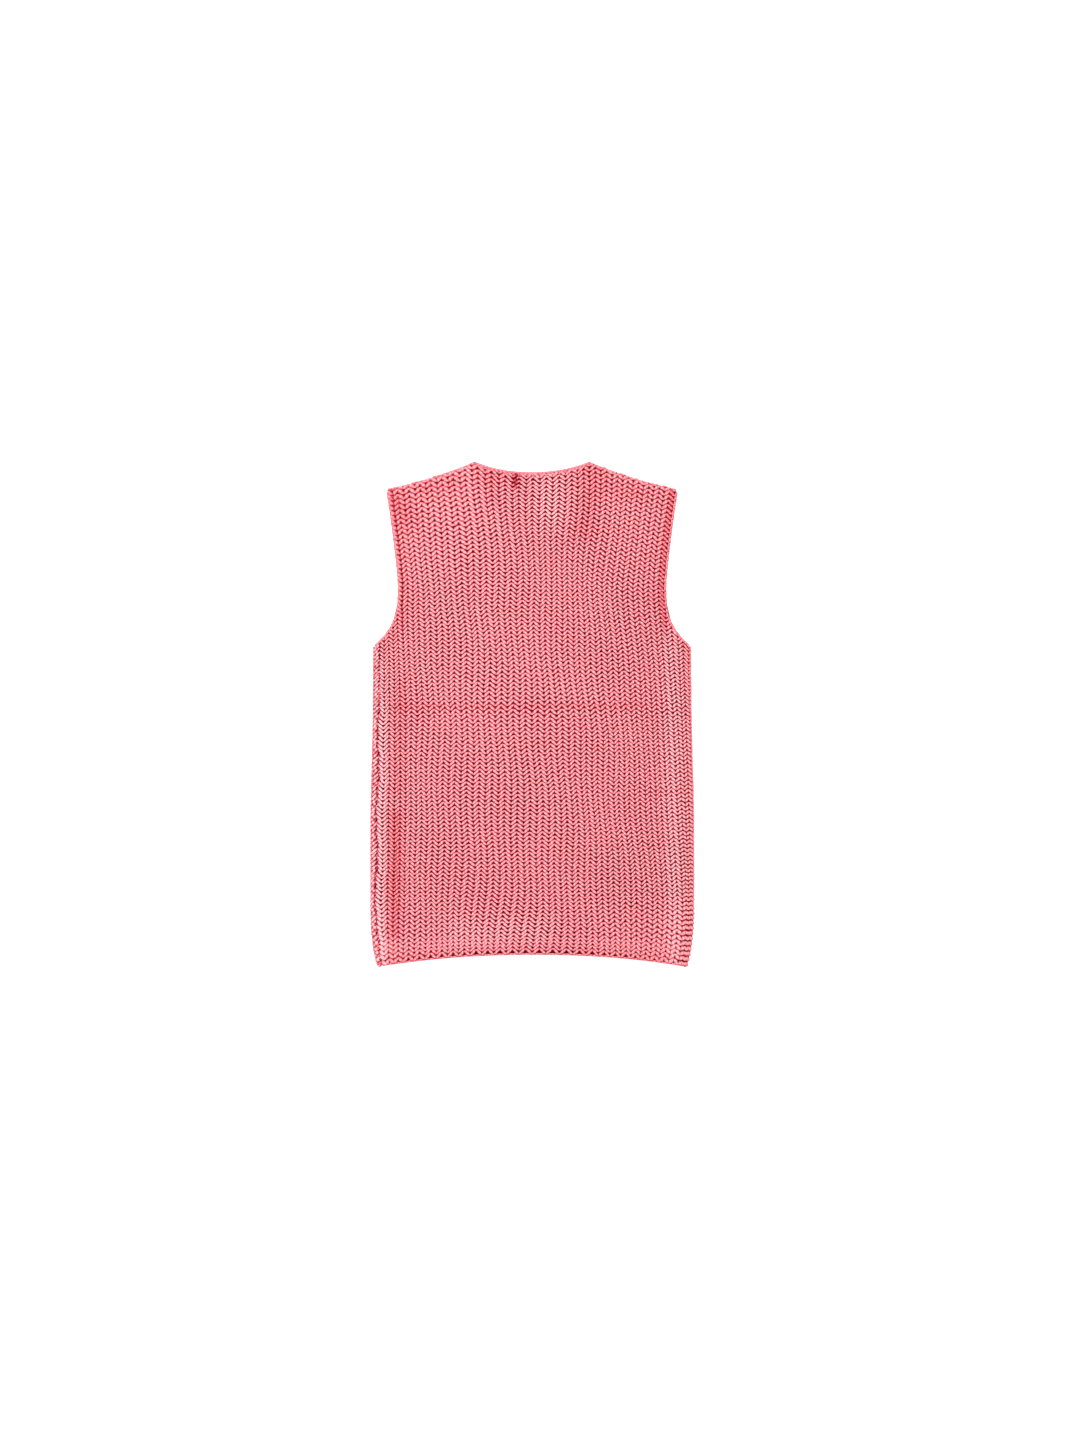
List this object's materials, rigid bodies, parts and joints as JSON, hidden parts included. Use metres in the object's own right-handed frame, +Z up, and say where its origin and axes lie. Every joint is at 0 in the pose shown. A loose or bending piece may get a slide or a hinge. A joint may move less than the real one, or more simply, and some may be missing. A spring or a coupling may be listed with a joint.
{
  "type": "knitted sweater vest",
  "caption": "Sleeveless knitted top laid flat with its back up, its two layers ribbed and seamed at sides and shoulders.",
  "frame": {"origin": "under the middle of the garment, on the surface it lies on", "axes": "+X to the right as seen from above with the neck up, +Y up the body from the hem to the neck, +Z up from the surface"},
  "size_m": [0.4279, 0.6671, 0.0129],
  "materials": {
    "back_panel": "smooth coral pink yarn in a chunky rib",
    "front_panel": "smooth coral pink yarn in a chunky rib"
  },
  "bodies": {
    "root": {"back_panel": "back_panel", "front_panel": "front_panel"}
  },
  "joints": []
}
